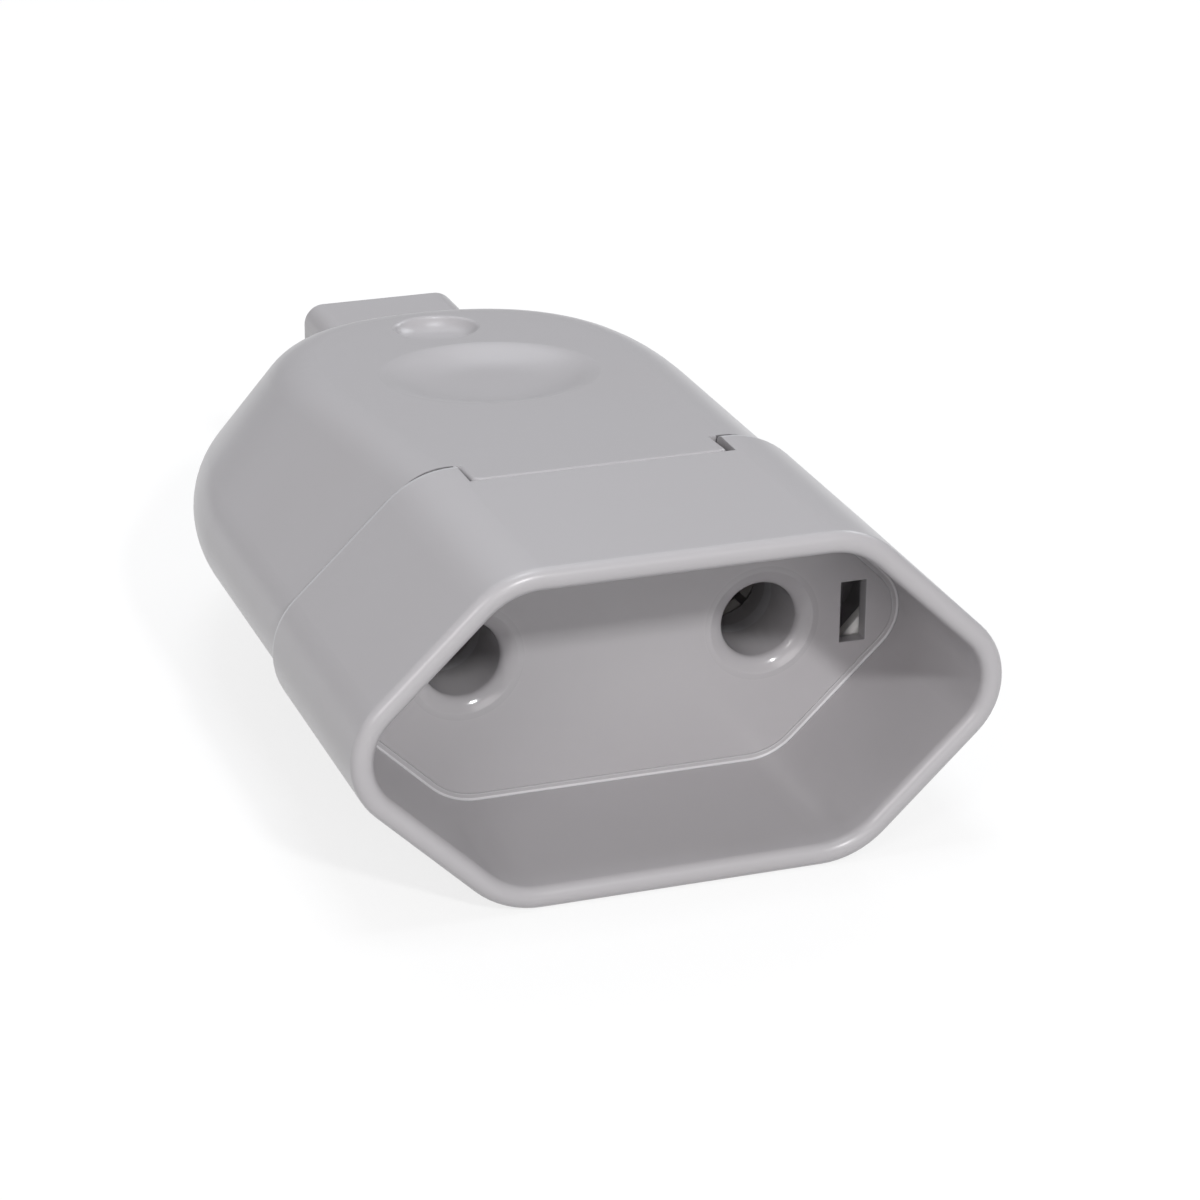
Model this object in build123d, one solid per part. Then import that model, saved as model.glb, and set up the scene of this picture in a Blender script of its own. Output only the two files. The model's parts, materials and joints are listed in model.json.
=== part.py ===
"""Two-pole female cord connector: a hexagonal socket front, a slide-on rear cover and the live parts inside.

Working frame while modelling: X across the two pins, Y from the plane of the socket's lip towards the
cord, Z up from mid-height. Everything is moved once, at the end, to the part's own frame: origin under
the middle of the object, on the plane that it stands on.
"""
from build123d import *
import math
import os

# Socket front: a flattened hexagon with rounded corners
apex_half_width = 22.1      # sharp corner at mid-height, before rounding
flat_half_width = 11.05     # sharp corner between the flat top and the flank
half_height = 10.6
apex_radius = 4.7
corner_radius = 5.8
collar_length = 17.8
collar_edge_radius = 0.8
lip_wall = 1.36
lip_land = 0.8
lip_edge_radius = 0.65
collar_wall = 1.45
recess_depth = 12.4
recess_draft = 0.14
face_wall = 2.4
face_groove_width = 0.2
face_groove_depth = 0.3
face_edge_bevel = 0.2

# Pins of the mating plug
pin_pitch = 19.0
pin_length = 19.0
pin_hole_radius = 2.43
lead_in_radius = 3.35
lead_in_depth = 0.75

# Side windows in the socket's floor, with the snap arms behind them
window_inner_edge = 14.65
window_width = 1.7
window_half_height = 2.0
window_clearance = 0.15
window_lip = 1.0             # thickness of the floor at the windows
window_relief = 1.1
snap_arm_thickness = 1.05
snap_arm_reach = 4.6
snap_hook_length = 1.9
snap_catch_thickness = 2.0

# Notch in the collar's rear edge, filled by a pad of the cover
notch_half_width = 8.4
notch_depth = 3.0
notch_edge_radius = 0.25
pad_side_gap = 0.3
pad_corner_radius = 0.6
pad_edge_radius = 0.3

# Rear cover: its outline in plan at mid-height, and at the level of its flat top
cover_tail_room = 12.05      # from the tray's end to the cover's rounded end
middle_curve_length = 25.4
middle_side_pull = 6.7
middle_end_pull = 15.2
flat_end_setback = 9.0
flat_curve_length = 17.4
flat_side_pull = 17.4
flat_end_pull = 6.75
cover_step = 0.55
cover_top_step = 0.25
cover_top_slope = 3.6       # degrees that the top falls towards the cord
cover_wall = 1.6
spigot_wall = 0.9
cover_apex_radius = 4.1
cover_corner_radius = 4.2
cavity_bevel = 1.6
seat_clearance = 0.1

# Cord outlet
neck_half_width = 5.45
neck_half_height = 6.2
neck_corner_radius = 1.4
neck_projection = 2.0
neck_end_radius = 0.7
cord_hole_length = 5.8
cord_hole_radius = 3.4

# Thumb dish and small dimple on top of the cover
dish_setback = 23.85
dish_floor_radius = 2.8
dish_rim_radius = 10.2
dish_brink_radius = 4.0
dish_depth = 0.8
dimple_setback = 12.2
dimple_floor_radius = 1.5
dimple_rim_radius = 1.5
dimple_brink_radius = 0.4
dimple_depth = 0.8
brink_slope = 5.0           # degrees, where a hollow runs out into the top

# Barrels, chassis tray and cord clamp bosses behind the face
barrel_clearance = 0.15
barrel_wall = 0.9
barrel_length = 7.5
tray_thickness = 1.6
tray_half_width = 12.0
tray_tail_half_width = 8.6
tray_tail_margin = 0.3
tray_rib_thickness = 1.2
tray_rib_offset = 6.5
boss_radius = 2.3
boss_height = 5.0
boss_offset = 6.2
saddle_width = 1.2
saddle_height = 0.9

# Brass socket contacts
pin_radius = 2.0
grip_clearance = 0.05
sleeve_wall = 0.7
sleeve_front_gap = 5.0
sleeve_bottom_gap = 0.8
sleeve_bottom_wall = 1.0
sleeve_slot_width = 0.5
sleeve_slot_length = 9.5
sleeve_tail_radius = 1.6
sleeve_tail_length = 2.0
press_clearance = 0.03

# Steel spring rings round the tines
spring_thickness = 0.3
spring_length = 3.4
spring_setback = 0.6
spring_gap_angle = 40.0

# Terminal blocks and their screws
block_width = 6.0
block_height = 7.4
block_length = 8.0
block_edge = 0.4
wire_hole_radius = 1.6
wire_hole_depth = 5.4
screw_radius = 1.5
screw_head_radius = 2.1
screw_head_height = 1.4
screw_slot_width = 0.7
screw_slot_depth = 0.9
terminal_screw_lift = 0.5
wire_gap = 0.3

# Contact retainer and cord clamp
retainer_wall = 1.4
retainer_height = 7.9
retainer_hole_radius = 1.9
partition_thickness = 1.4
partition_height = 9.4
slide_clearance = 0.15
clamp_gap = 0.4
clamp_width = 5.2
clamp_thickness = 2.0
clamp_half_length = 8.9
clamp_rise = 1.6
clamp_arch_half_width = 3.6
clamp_screw_reach = 4.2

# Places worked out from the sizes above
flank_angle = math.atan2(half_height, apex_half_width - flat_half_width)
floor_back = recess_depth + face_wall
pin_x = pin_pitch / 2
notch_front = collar_length - notch_depth
spigot_inset = collar_wall + seat_clearance
spigot_inner_inset = spigot_inset + spigot_wall
cover_apex = apex_half_width - cover_step / math.sin(flank_angle)
cover_flat = cover_apex - half_height / math.tan(flank_angle)
cover_top = half_height - cover_top_step
cover_fall = math.tan(math.radians(cover_top_slope))
cover_front = floor_back + seat_clearance
cover_seam = collar_length + seat_clearance
spigot_end = cover_seam + cover_wall
barrel_end = floor_back + barrel_length
sleeve_bore_radius = pin_radius + grip_clearance
sleeve_radius = sleeve_bore_radius + sleeve_wall
barrel_bore_radius = sleeve_radius + barrel_clearance
sleeve_front = floor_back + sleeve_front_gap
barrel_step = sleeve_front - barrel_clearance
sleeve_end = recess_depth + pin_length + sleeve_bottom_gap + sleeve_bottom_wall
block_end = sleeve_end + block_length
tray_top = -block_height / 2
retainer_front = block_end + slide_clearance
retainer_back = retainer_front + retainer_wall
boss_centre = retainer_back + clamp_gap + clamp_width / 2
tray_end = boss_centre + boss_radius + tray_tail_margin
body_length = tray_end + cover_tail_room
middle_straight_end = body_length - middle_curve_length
flat_end = body_length - flat_end_setback
flat_straight_end = flat_end - flat_curve_length
straight_end = min(middle_straight_end, flat_straight_end) - cover_wall
dish_centre = body_length - dish_setback
dimple_centre = body_length - dimple_setback
neck_end = body_length + neck_projection
neck_cavity_end = neck_end - cord_hole_length
total_length = neck_end

# The part's own frame: origin at the middle of the footprint
to_part_frame = Pos(0, -total_length / 2, half_height)


def across(y):
    """Plane across the connector at y, with its normal towards the lip and its own y axis up."""
    return Plane(origin=(0, y, 0), x_dir=(1, 0, 0), z_dir=(0, -1, 0))


def lengthwise(x):
    """Plane along the connector at x, with its own x axis towards the cord and its y axis up."""
    return Plane(origin=(x, 0, 0), x_dir=(0, 1, 0), z_dir=(1, 0, 0))


def hexagon(inset):
    """Outline of the socket's section, moved inwards by inset, with its rounded corners."""
    apex = apex_half_width - inset / math.sin(flank_angle)
    height = half_height - inset
    flat = apex - height / math.tan(flank_angle)
    corners = [(apex, 0), (flat, height), (-flat, height), (-apex, 0), (-flat, -height), (flat, -height)]
    outline = make_face(Polyline(*corners, close=True))
    apexes = [v for v in outline.vertices() if abs(v.Y) < height / 2]
    outline = fillet(apexes, apex_radius - inset)
    shoulders = [v for v in outline.vertices() if abs(v.Y) > height * 0.99]
    return fillet(shoulders, corner_radius - inset)


def prism(outline, start, end):
    """Solid with one outline all the way from y = start to y = end."""
    return extrude(across(start) * outline, amount=end - start, dir=(0, 1, 0))


def rod(x, z, radius, start, end):
    """Round bar along Y."""
    return prism(Pos(x, z) * Circle(radius), start, end)


def block(x_low, x_high, y_low, y_high, z_low, z_high):
    """Plain bar between two corners."""
    centre = Pos((x_low + x_high) / 2, (y_low + y_high) / 2, (z_low + z_high) / 2)
    return centre * Box(x_high - x_low, y_high - y_low, z_high - z_low)


def on_both_sides(solid):
    """A solid of the right half, joined to its mirror image."""
    return solid + mirror(solid, about=Plane.YZ)


def plan_outline(half_width, front, side_end, end, side_pull, end_pull):
    """Half-capsule outline in plan: straight sides, then one smooth curve round the rear."""
    sides = []
    for side in (1, -1):
        start = (side * half_width, side_end)
        pull = (side * half_width, side_end + side_pull)
        crown_pull = (side * end_pull, end)
        sides.append(Line((side * half_width, front), start))
        sides.append(Bezier(start, pull, crown_pull, (0, end)))
    sides.append(Line((half_width, front), (-half_width, front)))
    return make_face(sides)


def top_of_cover(y):
    """Height of the cover's top at y."""
    return cover_top - cover_fall * (y - collar_length)


def cover_blank(inset, front):
    """Sharp-edged form of the cover, moved inwards by inset, from y = front to its rounded end."""
    shift = inset / math.sin(flank_angle)
    apex = cover_apex - shift
    flat = cover_flat - shift
    section = Polyline((apex, 0), (flat, half_height), (-flat, half_height), (-apex, 0),
                       (-flat, -half_height), (flat, -half_height), close=True)
    straight = prism(make_face(section), front, straight_end)
    middle = plan_outline(apex, straight_end, middle_straight_end, body_length - shift,
                          middle_side_pull, middle_end_pull - shift)
    level = plan_outline(flat, straight_end, flat_straight_end, flat_end - shift,
                         flat_side_pull, flat_end_pull * flat / cover_flat)
    upper = loft([middle, Pos(0, 0, half_height) * level], ruled=True)
    body = straight + upper + mirror(upper, about=Plane.XY)
    bottom = inset - half_height
    side = Polyline((front, bottom), (neck_end, bottom), (neck_end, top_of_cover(neck_end) - inset),
                    (front, top_of_cover(front) - inset), close=True)
    return body & extrude(lengthwise(-apex_half_width) * make_face(side), amount=2 * apex_half_width)


def ridge_edges(body, front):
    """Edges of the cover's ridge at mid-height, without those of its front end."""
    level = [e for e in body.edges() if abs(e.center().Z) < seat_clearance]
    return [e for e in level if e.bounding_box().size.Z < seat_clearance
            and e.bounding_box().max.Y > front + seat_clearance]


def cover_form(front):
    """Outer form of the cover, with its rounded ridge and its rounded rims above and below."""
    body = cover_blank(0, front)
    body = fillet(ridge_edges(body, front), cover_apex_radius)
    levels = body.faces().filter_by(GeomType.PLANE).sort_by(Axis.Z)
    rim = [e for face in (levels[0], levels[-1]) for e in face.edges()
           if e.center().Y > front + seat_clearance]
    return fillet(rim, cover_corner_radius)


def cover_cavity():
    """Room inside the cover, one wall smaller, with a bevelled ridge."""
    room = cover_blank(cover_wall, spigot_end)
    room = chamfer(ridge_edges(room, spigot_end), cavity_bevel)
    return room & block(-apex_half_width, apex_half_width, spigot_end, neck_cavity_end,
                        -half_height, half_height)


def cover_pad():
    """Pad that carries the cover's top forward into the notch, level with the collar."""
    half_width = notch_half_width - pad_side_gap
    front = notch_front + seat_clearance
    bottom = half_height - spigot_inner_inset
    profile = Polyline((front, bottom), (front, top_of_cover(front)),
                       (cover_seam, top_of_cover(cover_seam)), (cover_seam, bottom), close=True)
    pad = extrude(lengthwise(-half_width) * make_face(profile), amount=2 * half_width)
    pad = fillet(pad.edges().filter_by(Axis.Z).group_by(Axis.Y)[0], pad_corner_radius)
    rim = [e for e in pad.faces().sort_by(Axis.Z)[-1].edges() if e.center().Y < cover_seam - seat_clearance]
    return fillet(rim, pad_edge_radius)


def bowl(floor_radius, rim_radius, brink_radius, depth):
    """Round hollow: flat floor, concave rim, then a rounded brink that runs out above the surface."""
    run_out = math.radians(brink_slope)
    turn = math.acos((rim_radius + brink_radius * math.cos(run_out) - depth) / (rim_radius + brink_radius))
    rim = JernArc((floor_radius, 0), (1, 0), rim_radius, math.degrees(turn))
    brink = JernArc(rim @ 1, rim % 1, brink_radius, brink_slope - math.degrees(turn))
    edge = brink @ 1 + (brink % 1) * brink_radius
    top = 2 * depth
    rest = Polyline(edge, (edge.X, top), (0, top), (0, 0), (floor_radius, 0))
    return revolve(Plane.XZ * make_face([rim, brink, Line(brink @ 1, edge), rest]), axis=Axis.Z)


def sunk_in_top(hollow, y, depth):
    """A hollow turned to the slope of the cover's top and let into it at y."""
    return Pos(0, y, top_of_cover(y) - depth) * Rot(X=-cover_top_slope) * hollow


def slotted_screw(length):
    """Cheese-head screw, standing on its tip at z = 0 below a head of the common size."""
    shank = extrude(Circle(screw_radius), amount=length)
    head = Pos(0, 0, length) * extrude(Circle(screw_head_radius), amount=screw_head_height)
    head = chamfer(head.edges().sort_by(Axis.Z)[-1], screw_head_height / 5)
    slot_floor = length + screw_head_height - screw_slot_depth
    slot = block(-screw_head_radius, screw_head_radius, -screw_slot_width / 2, screw_slot_width / 2,
                 slot_floor, length + screw_head_height)
    return shank + head - slot


def lead_in():
    """Flared mouth of the right pin hole, tangent to the hole and open to the socket's floor."""
    flare = lead_in_radius - pin_hole_radius
    end = (pin_hole_radius, lead_in_depth)
    edges = [
        Line((0, lead_in_depth), (0, 0)),
        Line((0, 0), (lead_in_radius, 0)),
        Bezier((lead_in_radius, 0), (pin_hole_radius + flare / 3, lead_in_depth / 5),
               (pin_hole_radius, lead_in_depth / 2), end),
        Line(end, (0, lead_in_depth)),
    ]
    return Pos(pin_x, recess_depth, 0) * revolve(make_face(edges), axis=Axis.Y)


def snap_arm():
    """Springy arm on the right, with a hook that faces the lip through the window."""
    inner = window_inner_edge - snap_arm_thickness
    root = floor_back - face_wall / 2
    hook_front = floor_back + snap_arm_reach
    hook_tip = window_inner_edge + window_width - window_clearance
    arm_end = hook_front + snap_hook_length
    outline = Polyline((inner, root), (window_inner_edge, root), (window_inner_edge, hook_front),
                       (hook_tip, hook_front), (window_inner_edge, arm_end), (inner, arm_end), close=True)
    arm_half_height = window_half_height - window_clearance
    return Pos(0, 0, -arm_half_height) * extrude(make_face(outline), amount=2 * arm_half_height)


def chassis_tray():
    """Flat tray behind the face, with its two keels, the clamp bosses and the cord saddle."""
    root = floor_back - face_wall / 2
    outline = Polyline((tray_half_width, root), (tray_half_width, retainer_back),
                       (tray_tail_half_width, tray_end), (-tray_tail_half_width, tray_end),
                       (-tray_half_width, retainer_back), (-tray_half_width, root), close=True)
    tray = Pos(0, 0, tray_top - tray_thickness) * extrude(make_face(outline), amount=tray_thickness)
    keel_bottom = spigot_inner_inset + slide_clearance - half_height
    keel = block(tray_rib_offset - tray_rib_thickness / 2, tray_rib_offset + tray_rib_thickness / 2,
                 root, tray_end - tray_rib_thickness, keel_bottom, tray_top - tray_thickness)
    boss = Pos(boss_offset, boss_centre, tray_top) * extrude(Circle(boss_radius), amount=boss_height)
    pilot_depth = clamp_screw_reach + wire_gap
    pilot = Pos(boss_offset, boss_centre, tray_top + boss_height - pilot_depth) * extrude(
        Circle(screw_radius), amount=pilot_depth)
    tray = tray + on_both_sides(keel + boss) - on_both_sides(pilot)
    for saddle_y in (boss_centre - saddle_width, boss_centre + saddle_width):
        tray += block(-clamp_arch_half_width, clamp_arch_half_width, saddle_y - saddle_width / 2,
                      saddle_y + saddle_width / 2, tray_top, tray_top + saddle_height)
    return tray


def retainer_slot(clearance):
    """Space that the retainer's cross wall takes, with its feet in the tray."""
    half_width = tray_half_width - tray_thickness + clearance
    return block(-half_width, half_width, retainer_front - clearance, retainer_back + clearance,
                 tray_top - tray_thickness / 2 - clearance, tray_top + retainer_height)


def window_opening():
    """Window on the right through the socket's floor, which is thinned behind it inside the collar."""
    outer_edge = window_inner_edge + window_width
    window = block(window_inner_edge, outer_edge, recess_depth, floor_back,
                   -window_half_height, window_half_height)
    relief_height = window_half_height + window_relief
    relief = block(window_inner_edge, outer_edge + window_relief, recess_depth + window_lip, floor_back,
                   -relief_height, relief_height)
    return window + (relief & prism(hexagon(collar_wall), recess_depth, floor_back))


def plug_recess():
    """Tapered room for the plug's nose, with a fine groove round the face at its bottom."""
    mouth = across(lip_land) * hexagon(lip_wall)
    floor = across(recess_depth) * hexagon(lip_wall + recess_draft)
    room = prism(hexagon(lip_wall), 0, lip_land) + loft([floor, mouth], ruled=True)
    face = prism(hexagon(lip_wall + recess_draft + face_groove_width), recess_depth,
                 recess_depth + 2 * face_groove_depth)
    face = chamfer(face.edges().group_by(Axis.Y)[0], face_edge_bevel)
    groove = prism(hexagon(lip_wall + recess_draft), recess_depth, recess_depth + face_groove_depth)
    return room + (groove - face)


def collar_notch():
    """Notch in the middle of the collar's rear edge."""
    return block(-notch_half_width, notch_half_width, notch_front, collar_length,
                 half_height - collar_wall, half_height)


def make_front_body():
    shell = prism(hexagon(0), 0, collar_length)
    shell = fillet(shell.edges().group_by(Axis.Y)[-1], collar_edge_radius)
    shell = shell - plug_recess()
    shell = fillet(shell.edges().group_by(Axis.Y)[0], lip_edge_radius)
    shell = shell - prism(hexagon(collar_wall), floor_back, collar_length)
    shell = shell - collar_notch()
    brink = [e for e in shell.edges().filter_by(Axis.X).group_by(Axis.Z)[-1]
             if abs(e.center().Y - notch_front) < seat_clearance]
    shell = fillet(brink, notch_edge_radius)
    barrel = rod(pin_x, 0, barrel_bore_radius + barrel_wall, floor_back - face_wall / 2, barrel_end)
    shell = shell + chassis_tray() + on_both_sides(barrel)
    shell = shell - on_both_sides(rod(pin_x, 0, barrel_bore_radius, barrel_step, barrel_end))
    shell = shell - on_both_sides(rod(pin_x, 0, pin_hole_radius, recess_depth, barrel_step))
    shell = shell - on_both_sides(lead_in()) - on_both_sides(window_opening())
    return shell + on_both_sides(snap_arm()) - retainer_slot(slide_clearance)


def make_rear_cover():
    form = cover_form(cover_front)
    ahead_of_seam = block(-apex_half_width, apex_half_width, cover_front, cover_seam,
                          -half_height, half_height)
    shell = form - ahead_of_seam + cover_pad()
    spigot = prism(hexagon(spigot_inset), cover_front, spigot_end)
    shell = shell + spigot
    neck_profile = RectangleRounded(2 * neck_half_width, 2 * neck_half_height, neck_corner_radius)
    neck = prism(neck_profile, neck_cavity_end - cover_wall, neck_end)
    shell = shell + fillet(neck.edges().group_by(Axis.Y)[-1], neck_end_radius)

    shell = shell - cover_cavity()
    shell = shell - prism(hexagon(spigot_inner_inset), cover_front, spigot_end)
    shell = shell - rod(0, 0, cord_hole_radius, neck_cavity_end, neck_end)

    catch_end = floor_back + snap_arm_reach - window_clearance
    catch = block(window_inner_edge + window_clearance, cover_apex,
                  catch_end - snap_catch_thickness, catch_end, -window_half_height, window_half_height)
    shell = shell + on_both_sides(catch & spigot)

    dish = bowl(dish_floor_radius, dish_rim_radius, dish_brink_radius, dish_depth)
    dimple = bowl(dimple_floor_radius, dimple_rim_radius, dimple_brink_radius, dimple_depth)
    shell = shell - sunk_in_top(dish, dish_centre, dish_depth)
    return shell - sunk_in_top(dimple, dimple_centre, dimple_depth)


def make_contact_sleeve():
    """Turned socket: a slotted tube flared at its mouth, a closed bottom and a tail for the block."""
    bottom = sleeve_end - sleeve_bottom_wall
    sleeve = rod(0, 0, sleeve_radius, sleeve_front, sleeve_end)
    sleeve = sleeve - rod(0, 0, sleeve_bore_radius, sleeve_front, bottom)
    brinks = sleeve.edges().group_by(Axis.Y)[0].sort_by(SortBy.RADIUS)
    sleeve = chamfer(brinks[0], pin_hole_radius - sleeve_bore_radius)
    sleeve = chamfer(sleeve.edges().group_by(Axis.Y)[0].sort_by(SortBy.RADIUS)[-1], sleeve_wall / 5)
    slit_end = sleeve_front + sleeve_slot_length
    half_slot = sleeve_slot_width / 2
    for turn in (45, -45):
        slit = block(-sleeve_radius, sleeve_radius, sleeve_front, slit_end, -half_slot, half_slot)
        sleeve = sleeve - Rot(Y=turn) * slit
    return sleeve + rod(0, 0, sleeve_tail_radius, sleeve_end, sleeve_end + sleeve_tail_length)


def make_contact_spring():
    """Rolled steel ring, open at one side, that squeezes the tines."""
    start = barrel_end + spring_setback
    inner = sleeve_radius + press_clearance
    ring = rod(0, 0, inner + spring_thickness, start, start + spring_length)
    ring = ring - rod(0, 0, inner, start, start + spring_length)
    half_gap = inner * math.sin(math.radians(spring_gap_angle / 2))
    return ring - block(-half_gap, half_gap, start, start + spring_length, 0, 2 * sleeve_radius)


def make_terminal_block():
    """Brass block with a hole for the wire and a threaded hole for its screw."""
    terminal = block(-block_width / 2, block_width / 2, sleeve_end, block_end,
                     -block_height / 2, block_height / 2)
    terminal = chamfer(terminal.edges().filter_by(Axis.Y), block_edge)
    terminal = terminal - rod(0, 0, sleeve_tail_radius + press_clearance, sleeve_end,
                              sleeve_end + sleeve_tail_length)
    terminal = terminal - rod(0, 0, wire_hole_radius, block_end - wire_hole_depth, block_end)
    screw_hole = extrude(Circle(screw_radius + press_clearance), amount=block_height)
    return terminal - Pos(0, block_end - wire_hole_depth / 2, 0) * screw_hole


def make_terminal_screw():
    length = block_height / 2 + terminal_screw_lift - wire_gap
    return Pos(0, block_end - wire_hole_depth / 2, wire_gap) * slotted_screw(length)


def make_contact_retainer():
    """Insulating comb that stands in the tray behind the blocks, with a wall between the two poles."""
    wire_hole = rod(pin_x, 0, retainer_hole_radius, retainer_front, retainer_back)
    partition = block(-partition_thickness / 2, partition_thickness / 2, sleeve_end, retainer_back,
                      tray_top + seat_clearance, tray_top + partition_height)
    return retainer_slot(0) - on_both_sides(wire_hole) + partition


def make_cord_clamp():
    """Arched clamp bar that rests on the two bosses and presses on the cord."""
    seat = tray_top + boss_height
    rise_start = clamp_arch_half_width
    rise_end = clamp_arch_half_width - clamp_rise
    lower = [(-clamp_half_length, seat), (-rise_start, seat), (-rise_end, seat + clamp_rise),
             (rise_end, seat + clamp_rise), (rise_start, seat), (clamp_half_length, seat)]
    upper = [(x, z + clamp_thickness) for x, z in reversed(lower)]
    bar = prism(make_face(Polyline(*lower, *upper, close=True)),
                boss_centre - clamp_width / 2, boss_centre + clamp_width / 2)
    ends = bar.edges().filter_by(Axis.Z)
    bar = fillet([e for e in ends if abs(e.center().X) > clamp_arch_half_width], clamp_width / 4)
    hole = extrude(Circle(screw_radius + slide_clearance), amount=clamp_thickness)
    return bar - on_both_sides(Pos(boss_offset, boss_centre, seat) * hole)


def make_clamp_screw():
    length = clamp_screw_reach + clamp_thickness
    return Pos(boss_offset, boss_centre, tray_top + boss_height - clamp_screw_reach) * slotted_screw(length)


def pair(solid):
    """The same solid on both sides, as one group of separate solids."""
    return Compound([solid, mirror(solid, about=Plane.YZ)])


def export(shape, name):
    export_step(to_part_frame * shape, f"parts/{name}.step")


def main():
    os.makedirs("parts", exist_ok=True)
    export(make_front_body(), "front_body")
    export(make_rear_cover(), "rear_cover")
    sleeve = make_contact_sleeve()
    spring = make_contact_spring()
    terminal = make_terminal_block()
    for side, name in ((-1, "left"), (1, "right")):
        export(Pos(side * pin_x) * sleeve, f"contact_sleeve_{name}")
        export(Pos(side * pin_x) * spring, f"contact_spring_{name}")
        export(Pos(side * pin_x) * terminal, f"terminal_block_{name}")
    export(pair(Pos(pin_x) * make_terminal_screw()), "terminal_screws")
    export(make_contact_retainer(), "contact_retainer")
    export(make_cord_clamp(), "cord_clamp")
    export(pair(make_clamp_screw()), "cord_clamp_screws")


main()
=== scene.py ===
"""Studio picture of the female cord connector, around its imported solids."""
import json
import math
from collections import namedtuple

import bmesh
import bpy
from mathutils import Matrix, Vector


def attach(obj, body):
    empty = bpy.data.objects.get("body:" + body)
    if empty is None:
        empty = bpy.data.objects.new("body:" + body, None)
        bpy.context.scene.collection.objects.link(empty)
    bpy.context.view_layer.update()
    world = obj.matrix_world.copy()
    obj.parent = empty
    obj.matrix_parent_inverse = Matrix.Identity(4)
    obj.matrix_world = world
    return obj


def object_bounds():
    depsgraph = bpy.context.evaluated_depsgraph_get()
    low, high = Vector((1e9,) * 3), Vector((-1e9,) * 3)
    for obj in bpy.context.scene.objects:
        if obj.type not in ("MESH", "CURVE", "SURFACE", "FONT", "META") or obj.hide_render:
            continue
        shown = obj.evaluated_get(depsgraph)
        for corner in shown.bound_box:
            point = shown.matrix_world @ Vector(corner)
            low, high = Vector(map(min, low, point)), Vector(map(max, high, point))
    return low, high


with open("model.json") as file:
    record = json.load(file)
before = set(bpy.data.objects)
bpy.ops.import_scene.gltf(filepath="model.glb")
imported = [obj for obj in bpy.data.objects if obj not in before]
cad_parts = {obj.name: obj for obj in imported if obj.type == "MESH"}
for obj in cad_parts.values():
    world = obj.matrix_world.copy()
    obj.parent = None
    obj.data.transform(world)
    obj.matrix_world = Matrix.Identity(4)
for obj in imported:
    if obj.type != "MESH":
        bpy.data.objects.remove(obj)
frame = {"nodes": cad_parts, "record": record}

cad_low, cad_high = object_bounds()
MM = 0.001

# The camera of the photograph, found from the 19 mm between the pin holes
CAMERA_AZIMUTH = math.radians(-19.72)
CAMERA_ELEVATION = math.radians(22.67)
CAMERA_ROLL = math.radians(0.48)
CAMERA_DISTANCE = 227.98 * MM
CAMERA_SHIFT_RIGHT = -5.06 * MM
CAMERA_SHIFT_UP = 7.10 * MM
IMAGE_PIXELS = 1200
FOCAL_PIXELS = 3970
SENSOR_MM = 36.0
CLIP_NEAR = 0.01
CLIP_FAR = 20.0

# Colours of the plastics, each from its plain tone to its warmer one
LIGHT_GREY = ((0.44, 0.43, 0.445), (0.42, 0.405, 0.415))
# paler grey of the recess fillet, a painted highlight line
FILLET_HIGHLIGHT_GREY = ((0.62, 0.61, 0.63), (0.56, 0.55, 0.56))
NATURAL_WHITE = ((0.62, 0.60, 0.56), (0.58, 0.56, 0.52))
# near-white of the window webs, paler than the insulator: a painted highlight
WEB_HIGHLIGHT_WHITE = ((0.88, 0.87, 0.86), (0.84, 0.83, 0.81))

# Surface of the mouldings: reflection, range of roughness, clouds of tone and gloss, and fine grain
PLASTIC_IOR = 1.5
PLASTIC_SPECULAR = 0.45
ROUGHNESS_LOW = 0.25
ROUGHNESS_HIGH = 0.34
CLOUD_SCALE = 60.0
GRAIN_SCALE = 4500.0
GRAIN_STRENGTH = 0.10
GRAIN_HEIGHT = 0.02 * MM

# Sharp edges of the mouldings are rounded in the shading over this radius, and painted a little paler there:
# edge wear and a painted highlight along the edges. The mask starts and is full at these cosines of the
# angle between the rounded normal and the surface's own.
EDGE_RADIUS = 0.12 * MM
EDGE_HIGHLIGHT_COLOUR = (0.56, 0.56, 0.58)
EDGE_START_COSINE = 0.99
EDGE_FULL_COSINE = 0.88
EDGE_WEAR_AND_HIGHLIGHT = 0.6

# Painted bands beside the joint of collar and cover, a painted highlight on the collar's rear edge and
# painted shade on the cover: how far they reach before and after it, and their colour
COLLAR_LENGTH = 17.8 * MM
NOTCH_HALF_WIDTH = 8.4 * MM
Band = namedtuple("Band", "before after fade colour strength")
# painted highlight along the collar's rear edge, on the front moulding
COLLAR_EDGE_HIGHLIGHT = Band(before=0.75 * MM, after=0.2 * MM, fade=0.15 * MM, colour=EDGE_HIGHLIGHT_COLOUR, strength=0.75)
# painted shade in the joint, on the cover just behind the collar
JOINT_PAINTED_SHADE = Band(before=0.1 * MM, after=0.16 * MM, fade=0.12 * MM, colour=(0.12, 0.115, 0.12), strength=0.9)

# Metals: colours, scale and shade of their stains, and how far roughness varies about each one's own
BRASS_COLOUR = (0.72, 0.52, 0.24)
STEEL_COLOUR = (0.46, 0.47, 0.50)
ZINC_COLOUR = (0.62, 0.63, 0.66)
NICKEL_COLOUR = (0.58, 0.57, 0.54)
STAIN_SCALE = 400.0
STAIN_SHADE = 0.8
METAL_SMOOTHER = 0.8
METAL_ROUGHER = 1.3

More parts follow.
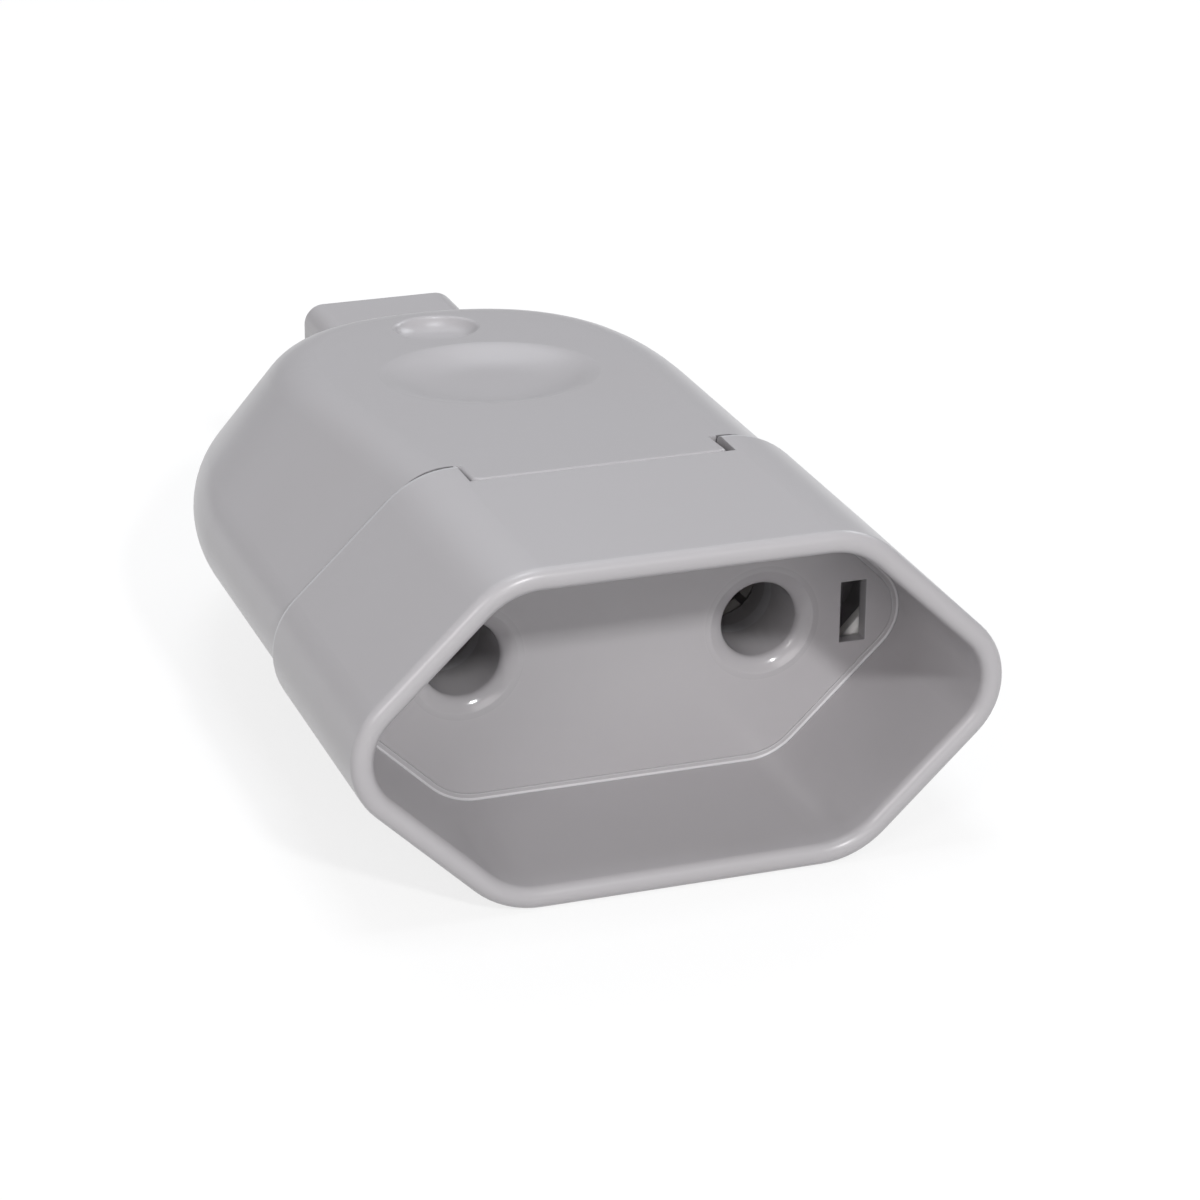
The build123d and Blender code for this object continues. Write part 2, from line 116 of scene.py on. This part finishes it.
# The socket's six-sided section: sharp corners before rounding, and the radii of its corners
MID_HEIGHT = (cad_low.z + cad_high.z) / 2
HALF_HEIGHT = (cad_high.z - cad_low.z) / 2
APEX_HALF_WIDTH = 22.1 * MM
FLAT_HALF_WIDTH = 11.05 * MM
APEX_RADIUS = 4.7 * MM
SHOULDER_RADIUS = 5.8 * MM
ARC_STEPS = 10

# The recess floor, and the fillet between floor and wall with the foot that covers the fine groove
RECESS_DEPTH = 12.4 * MM
RECESS_WALL_INSET = 1.5 * MM
FILLET_SIZE = 0.13 * MM
FILLET_STEPS = 5
FOOT_WIDTH = 0.43 * MM
FOOT_HEIGHT = 0.005 * MM
FOOT_SUNK = 0.1 * MM
WALL_OVERLAP = 0.05 * MM

# Pin holes, polished by the plug's pins out to this radius
PIN_OFFSET = 9.5 * MM
POLISHED_RADIUS = 3.4 * MM
POLISHED_FADE = 0.4 * MM
POLISHED_ROUGHNESS = 0.5

# Web in the pocket behind each window, seen from the front: across from the middle, up from mid-height
WINDOW_INNER_EDGE = 14.65 * MM
WINDOW_POCKET_DEPTH = 1.15 * MM
WEB_INNER = WINDOW_INNER_EDGE + 0.1 * MM
WEB_OUTER = WINDOW_INNER_EDGE + 2.6 * MM
WEB_BOTTOM = -2.9 * MM
WEB_TOP = -0.25 * MM
WEB_THICKNESS = 1.0 * MM
WEB_BEVEL = 0.30 * MM

# Edges sharper than this stay sharp on the added pieces
SHARP_ANGLE = math.radians(40)

# White floor: how far it reaches, its plain surface, and its glow as the camera sees it
FLOOR_REACH = 2.0
FLOOR_GREY = (0.55, 0.55, 0.55)
FLOOR_ROUGHNESS = 0.8
FLOOR_GLOW = 1.3
FLOOR_GLOW_SHARE = 0.6

# Studio light
SURROUND_STRENGTH = 0.30
LAMP_DISTANCE = 0.9
WHITE_LIGHT = (1, 1, 1)
COOL_LIGHT = (0.93, 0.96, 1.0)
WARM_LIGHT = (1.0, 0.97, 0.97)


def make_camera():
    """Camera that looks at the middle of the socket's lip from the photograph's side."""
    back = Vector((
        math.sin(CAMERA_AZIMUTH) * math.cos(CAMERA_ELEVATION),
        -math.cos(CAMERA_AZIMUTH) * math.cos(CAMERA_ELEVATION),
        math.sin(CAMERA_ELEVATION),
    ))
    level_right = Vector((math.cos(CAMERA_AZIMUTH), math.sin(CAMERA_AZIMUTH), 0))
    level_up = back.cross(level_right)
    right = level_right * math.cos(CAMERA_ROLL) + level_up * math.sin(CAMERA_ROLL)
    up = back.cross(right)
    lip_middle = Vector((0, cad_low.y, MID_HEIGHT))
    place = lip_middle + back * CAMERA_DISTANCE + right * CAMERA_SHIFT_RIGHT + up * CAMERA_SHIFT_UP
    data = bpy.data.cameras.new("camera")
    data.sensor_width = SENSOR_MM
    data.lens = SENSOR_MM * FOCAL_PIXELS / IMAGE_PIXELS
    data.clip_start = CLIP_NEAR
    data.clip_end = CLIP_FAR
    camera = bpy.data.objects.new("camera", data)
    bpy.context.collection.objects.link(camera)
    turn = Matrix((right, up, back)).transposed().to_4x4()
    camera.matrix_world = Matrix.Translation(place) @ turn
    bpy.context.scene.camera = camera


def node(tree, kind, **inputs):
    """New shader node with some of its inputs set by name."""
    made = tree.nodes.new(kind)
    for name, value in inputs.items():
        made.inputs[name].default_value = value
    return made


def calculate(tree, operation, first, second=0.0):
    """Output of a math node, whose two inputs are numbers or other nodes' outputs."""
    made = tree.nodes.new("ShaderNodeMath")
    made.operation = operation
    for socket, value in zip(made.inputs, (first, second)):
        if isinstance(value, bpy.types.NodeSocket):
            tree.links.new(value, socket)
        else:
            socket.default_value = value
    return made.outputs["Value"]


def mix_colours(tree, first, second, share):
    """Output of a colour mix, whose two inputs are plain colours or other nodes' outputs."""
    made = tree.nodes.new("ShaderNodeMix")
    made.data_type = "RGBA"
    for socket, colour in ((made.inputs["A"], first), (made.inputs["B"], second)):
        if isinstance(colour, bpy.types.NodeSocket):
            tree.links.new(colour, socket)
        else:
            socket.default_value = (*colour, 1)
    tree.links.new(share, made.inputs["Factor"])
    return made.outputs["Result"]


def remap(tree, value, from_range, to_range=(0, 1)):
    """Output that moves linearly through to_range while value moves through from_range."""
    made = tree.nodes.new("ShaderNodeMapRange")
    made.inputs["From Min"].default_value, made.inputs["From Max"].default_value = from_range
    made.inputs["To Min"].default_value, made.inputs["To Max"].default_value = to_range
    tree.links.new(value, made.inputs["Value"])
    return made.outputs["Result"]


def satin_plastic(name, tones, band=None):
    """Moulded thermoplastic: fine spark-eroded grain, cloudy gloss, and rounded edges painted slightly paler
    as wear and a painted highlight; a band, if given, is painted beside the joint.
    """
    material = bpy.data.materials.new(name)
    material.use_nodes = True
    tree = material.node_tree
    shader = tree.nodes["Principled BSDF"]
    shader.inputs["IOR"].default_value = PLASTIC_IOR
    shader.inputs["Specular IOR Level"].default_value = PLASTIC_SPECULAR
    place = node(tree, "ShaderNodeTexCoord").outputs["Object"]

    cloud = node(tree, "ShaderNodeTexNoise", Scale=CLOUD_SCALE, Detail=3.0, Roughness=0.55)
    tree.links.new(place, cloud.inputs["Vector"])
    tint = mix_colours(tree, *tones, cloud.outputs["Fac"])
    # edges painted paler: wear and a painted highlight along them
    colour = mix_colours(tree, tint, EDGE_HIGHLIGHT_COLOUR, edge_highlight_mask(tree))
    # painted band beside the joint: a painted highlight on the collar, painted shade on the cover
    if band:
        colour = mix_colours(tree, colour, band.colour, band_mask(tree, place, band))
    tree.links.new(colour, shader.inputs["Base Color"])

    moulded = remap(tree, cloud.outputs["Fac"], (0, 1), (ROUGHNESS_LOW, ROUGHNESS_HIGH))
    rubbed = calculate(tree, "MULTIPLY", moulded, hole_gloss(tree, place))
    tree.links.new(rubbed, shader.inputs["Roughness"])

    grain = node(tree, "ShaderNodeTexNoise", Scale=GRAIN_SCALE, Detail=2.0, Roughness=0.6)
    tree.links.new(place, grain.inputs["Vector"])
    bump = node(tree, "ShaderNodeBump", Strength=GRAIN_STRENGTH, Distance=GRAIN_HEIGHT)
    tree.links.new(grain.outputs["Fac"], bump.inputs["Height"])
    rounding = node(tree, "ShaderNodeBevel", Radius=EDGE_RADIUS)
    tree.links.new(rounding.outputs["Normal"], bump.inputs["Normal"])
    tree.links.new(bump.outputs["Normal"], shader.inputs["Normal"])
    return material


def hole_gloss(tree, place):
    """Factor for the roughness: below 1 at the two pin holes, which the plug's pins have polished."""
    part = node(tree, "ShaderNodeSeparateXYZ")
    tree.links.new(place, part.inputs["Vector"])
    flat = node(tree, "ShaderNodeCombineXYZ")
    tree.links.new(calculate(tree, "ABSOLUTE", part.outputs["X"]), flat.inputs["X"])
    tree.links.new(part.outputs["Z"], flat.inputs["Z"])
    reach = node(tree, "ShaderNodeVectorMath")
    reach.operation = "DISTANCE"
    reach.inputs[1].default_value = (PIN_OFFSET, 0, MID_HEIGHT)
    tree.links.new(flat.outputs["Vector"], reach.inputs[0])
    polished_range = (POLISHED_RADIUS, POLISHED_RADIUS + POLISHED_FADE)
    return remap(tree, reach.outputs["Value"], polished_range, (POLISHED_ROUGHNESS, 1))


def band_mask(tree, place, band):
    """Output that is the band's strength beside the joint all round, apart from the notch on top."""
    part = node(tree, "ShaderNodeSeparateXYZ")
    tree.links.new(place, part.inputs["Vector"])
    across = calculate(tree, "ABSOLUTE", part.outputs["X"])
    beside_notch = calculate(tree, "GREATER_THAN", across, NOTCH_HALF_WIDTH)
    below_notch = calculate(tree, "LESS_THAN", part.outputs["Z"], MID_HEIGHT)
    outside_notch = calculate(tree, "MAXIMUM", beside_notch, below_notch)
    level = calculate(tree, "MULTIPLY", outside_notch, band.strength)
    start = cad_low.y + COLLAR_LENGTH - band.before
    end = cad_low.y + COLLAR_LENGTH + band.after
    for edge_range in ((start - band.fade, start), (end + band.fade, end)):
        level = calculate(tree, "MULTIPLY", level, remap(tree, part.outputs["Y"], edge_range))
    return level


def edge_highlight_mask(tree):
    """Output that rises from 0 on a sharp edge, where the rounded normal leaves the surface's own; there the
    edges are painted paler, as wear and a painted highlight.
    """
    surface = node(tree, "ShaderNodeNewGeometry")
    rounding = node(tree, "ShaderNodeBevel", Radius=EDGE_RADIUS)
    agreement = node(tree, "ShaderNodeVectorMath")
    agreement.operation = "DOT_PRODUCT"
    tree.links.new(rounding.outputs["Normal"], agreement.inputs[0])
    tree.links.new(surface.outputs["Normal"], agreement.inputs[1])
    return remap(tree, agreement.outputs["Value"], (EDGE_START_COSINE, EDGE_FULL_COSINE), (0, EDGE_WEAR_AND_HIGHLIGHT))


def metal(name, colour, roughness):
    """Metal with faint stains in tone and gloss."""
    material = bpy.data.materials.new(name)
    material.use_nodes = True
    tree = material.node_tree
    shader = tree.nodes["Principled BSDF"]
    shader.inputs["Metallic"].default_value = 1.0
    place = node(tree, "ShaderNodeTexCoord").outputs["Object"]
    stain = node(tree, "ShaderNodeTexNoise", Scale=STAIN_SCALE, Detail=4.0, Roughness=0.6)
    tree.links.new(place, stain.inputs["Vector"])
    stained = [STAIN_SHADE * value for value in colour]
    tree.links.new(mix_colours(tree, colour, stained, stain.outputs["Fac"]), shader.inputs["Base Color"])
    gloss_range = (roughness * METAL_SMOOTHER, roughness * METAL_ROUGHER)
    tree.links.new(remap(tree, stain.outputs["Fac"], (0, 1), gloss_range), shader.inputs["Roughness"])
    return material


def dress_nodes():
    """Gives every solid its material, and returns the materials by slot."""
    finish = {
        # the collar gets the painted highlight band along its rear edge
        "front_plastic": satin_plastic("front_grey_plastic", LIGHT_GREY, COLLAR_EDGE_HIGHLIGHT),
        # the cover gets the painted shade band in the joint
        "cover_plastic": satin_plastic("cover_grey_plastic", LIGHT_GREY, JOINT_PAINTED_SHADE),
        "insulator_plastic": satin_plastic("insulator_plastic", NATURAL_WHITE),
        "brass": metal("brass", BRASS_COLOUR, roughness=0.3),
        "plated_brass": metal("nickel_plated_brass", NICKEL_COLOUR, roughness=0.32),
        "spring_steel": metal("spring_steel", STEEL_COLOUR, roughness=0.3),
        "zinc_plated_steel": metal("zinc_plated_steel", ZINC_COLOUR, roughness=0.28),
    }
    for part in frame["record"]["subparts"]:
        solid = frame["nodes"][part["node"]]
        solid.data.materials.clear()
        solid.data.materials.append(finish[part["material_slot"]])
    return finish


def rounded_section(inset):
    """Points (x, z) of the socket's section, moved inwards by inset, anticlockwise from the right."""
    flank = math.atan2(HALF_HEIGHT, APEX_HALF_WIDTH - FLAT_HALF_WIDTH)
    apex = APEX_HALF_WIDTH - inset / math.sin(flank)
    height = HALF_HEIGHT - inset
    flat = apex - height / math.tan(flank)
    corners = [(apex, 0), (flat, height), (-flat, height), (-apex, 0), (-flat, -height), (flat, -height)]
    points = []
    for index, (x, z) in enumerate(corners):
        radius = (APEX_RADIUS if z == 0 else SHOULDER_RADIUS) - inset
        before = Vector(corners[index - 1]) - Vector((x, z))
        after = Vector(corners[(index + 1) % len(corners)]) - Vector((x, z))
        middle = (before.normalized() + after.normalized()).normalized()
        half_angle = before.angle(after) / 2
        centre = Vector((x, z)) + middle * radius / math.sin(half_angle)
        sweep = math.pi / 2 - half_angle
        towards = math.atan2(-middle.y, -middle.x)
        for step in range(ARC_STEPS + 1):
            turn = towards + sweep * (2 * step / ARC_STEPS - 1)
            points.append((centre.x + radius * math.cos(turn), centre.y + radius * math.sin(turn)))
    return points


def add_piece(name, points, faces, material):
    """Mesh piece that rides with the object, with smooth faces and sharp edges kept."""
    mesh = bpy.data.meshes.new(name)
    mesh.from_pydata(points, [], faces)
    shell = bmesh.new()
    shell.from_mesh(mesh)
    bmesh.ops.recalc_face_normals(shell, faces=shell.faces)
    shell.to_mesh(mesh)
    shell.free()
    mesh.materials.append(material)
    for face in mesh.polygons:
        face.use_smooth = True
    mesh.set_sharp_from_angle(angle=SHARP_ANGLE)
    piece = bpy.data.objects.new(name, mesh)
    bpy.context.collection.objects.link(piece)
    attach(piece, "root")
    return piece


def recess_fillet(material, highlight_material):
    """Small hollow fillet where the recess floor meets the wall, and its foot, level with the floor; the
    fillet's faces take a paler material, a painted highlight line.
    """
    floor_y = cad_low.y + RECESS_DEPTH
    foot_y = floor_y - FOOT_HEIGHT
    section = [(RECESS_WALL_INSET + FOOT_WIDTH, foot_y)]
    for step in range(FILLET_STEPS + 1):
        turn = math.pi / 2 * step / FILLET_STEPS
        inset = RECESS_WALL_INSET + FILLET_SIZE * (1 - math.sin(turn))
        section.append((inset, foot_y - FILLET_SIZE * (1 - math.cos(turn))))
    section.append((RECESS_WALL_INSET - WALL_OVERLAP, floor_y + FOOT_SUNK))
    section.append((RECESS_WALL_INSET + FOOT_WIDTH / 2, floor_y + FOOT_SUNK))
    rings = [[(x, y, MID_HEIGHT + z) for x, z in rounded_section(inset)] for inset, y in section]
    around = len(rings[0])
    faces = []
    for ring in range(len(rings)):
        following = (ring + 1) % len(rings)
        for index in range(around):
            beside = (index + 1) % around
            faces.append((ring * around + beside, following * around + beside,
                          following * around + index, ring * around + index))
    points = [point for ring in rings for point in ring]
    piece = add_piece("recess_fillet", points, faces, material)
    piece.data.materials.append(highlight_material)
    for number, face in enumerate(piece.data.polygons):
        ring = number // around
        if 1 <= ring <= FILLET_STEPS:
            face.material_index = 1


def window_web(side, name, material):
    """Three-cornered web in the pocket behind a window, with a bevelled upper edge."""
    front = cad_low.y + RECESS_DEPTH + WINDOW_POCKET_DEPTH
    lean = math.atan2(WEB_TOP - WEB_BOTTOM, WEB_OUTER - WEB_INNER)
    drop = WEB_BEVEL / math.cos(lean)
    outline = [(WEB_INNER, WEB_BOTTOM), (WEB_OUTER, WEB_BOTTOM), (WEB_OUTER, WEB_TOP)]
    inner_drop = drop / math.tan(lean)
    lower = [(WEB_INNER + inner_drop, WEB_BOTTOM), (WEB_OUTER, WEB_BOTTOM), (WEB_OUTER, WEB_TOP - drop)]
    layers = ((lower, front), (outline, front + WEB_BEVEL), (outline, front + WEB_THICKNESS))
    points = [(side * x, y, MID_HEIGHT + z) for corners, y in layers for x, z in corners]
    faces = [(0, 1, 2), (8, 7, 6)]
    for layer in (0, 3):
        for index in range(3):
            beside = (index + 1) % 3
            faces.append((layer + index, layer + 3 + index, layer + 3 + beside, layer + beside))
    if side < 0:
        faces = [tuple(reversed(face)) for face in faces]
    return add_piece(name, points, faces, material)


def seen_directly(tree):
    """Output that is 1 for what the camera sees, also in a reflection or through glass, otherwise 0."""
    ray = node(tree, "ShaderNodeLightPath")
    total = ray.outputs["Is Camera Ray"]
    for kind in ("Is Glossy Ray", "Is Transmission Ray"):
        total = calculate(tree, "MAXIMUM", total, ray.outputs[kind])
    return total


def make_floor():
    """White seamless floor. The camera sees it glow a little, so that it is white apart from the shadow."""
    corners = [(x * FLOOR_REACH, y * FLOOR_REACH, 0) for x, y in ((-1, -1), (1, -1), (1, 1), (-1, 1))]
    mesh = bpy.data.meshes.new("floor")
    mesh.from_pydata(corners, [], [(0, 1, 2, 3)])
    floor = bpy.data.objects.new("floor", mesh)
    bpy.context.collection.objects.link(floor)
    material = bpy.data.materials.new("floor_white")
    material.use_nodes = True
    tree = material.node_tree
    lit = tree.nodes["Principled BSDF"]
    lit.inputs["Base Color"].default_value = (*FLOOR_GREY, 1)
    lit.inputs["Roughness"].default_value = FLOOR_ROUGHNESS
    white = node(tree, "ShaderNodeEmission", Strength=FLOOR_GLOW)
    mix = node(tree, "ShaderNodeMixShader")
    tree.links.new(calculate(tree, "MULTIPLY", seen_directly(tree), FLOOR_GLOW_SHARE), mix.inputs["Fac"])
    tree.links.new(lit.outputs["BSDF"], mix.inputs[1])
    tree.links.new(white.outputs["Emission"], mix.inputs[2])
    tree.links.new(mix.outputs["Shader"], tree.nodes["Material Output"].inputs["Surface"])
    mesh.materials.append(material)


def softbox(name, direction, size, level, colour=WHITE_LIGHT):
    """Square area lamp that lights a facing white card at the middle of the object to the given level."""
    middle = (cad_low + cad_high) / 2
    data = bpy.data.lights.new(name, "AREA")
    data.size = size
    data.energy = level * math.pi ** 2 * LAMP_DISTANCE ** 2
    data.color = colour
    lamp = bpy.data.objects.new(name, data)
    towards = Vector(direction).normalized()
    lamp.location = middle + towards * LAMP_DISTANCE
    lamp.rotation_euler = towards.to_track_quat("Z", "Y").to_euler()
    bpy.context.collection.objects.link(lamp)


def light_studio():
    """White surround, a compact key lamp high in front, fills at the front and lamps above and behind."""
    world = bpy.data.worlds.new("studio")
    bpy.context.scene.world = world
    world.use_nodes = True
    surround = world.node_tree.nodes["Background"]
    surround.inputs["Color"].default_value = (*WHITE_LIGHT, 1)
    surround.inputs["Strength"].default_value = SURROUND_STRENGTH
    softbox("key_lamp", (0.05, -0.82, 0.57), size=0.07, level=0.44)
    softbox("left_fill", (-0.60, -0.65, 0.50), size=0.25, level=0.24, colour=WARM_LIGHT)
    softbox("front_fill", (0, -0.98, 0.17), size=0.30, level=0.10, colour=WARM_LIGHT)
    softbox("top_lamp", (0, 0.02, 1), size=0.30, level=0.30, colour=COOL_LIGHT)
    softbox("right_rear_lamp", (0.65, 0.55, 0.52), size=0.30, level=0.13, colour=COOL_LIGHT)
    softbox("rear_lamp", (0, 0.64, 0.77), size=0.60, level=0.15, colour=COOL_LIGHT)


make_camera()
finish = dress_nodes()
# the fillet's faces painted paler as a highlight line round the recess floor
recess_fillet(finish["front_plastic"], satin_plastic("fillet_highlight_plastic", FILLET_HIGHLIGHT_GREY))
# the webs painted near-white as a highlight in the windows
web_highlight_plastic = satin_plastic("web_highlight_plastic", WEB_HIGHLIGHT_WHITE)
window_web(1, "window_web_right", web_highlight_plastic)
window_web(-1, "window_web_left", web_highlight_plastic)
make_floor()
light_studio()
bpy.context.scene.view_settings.view_transform = "Standard"
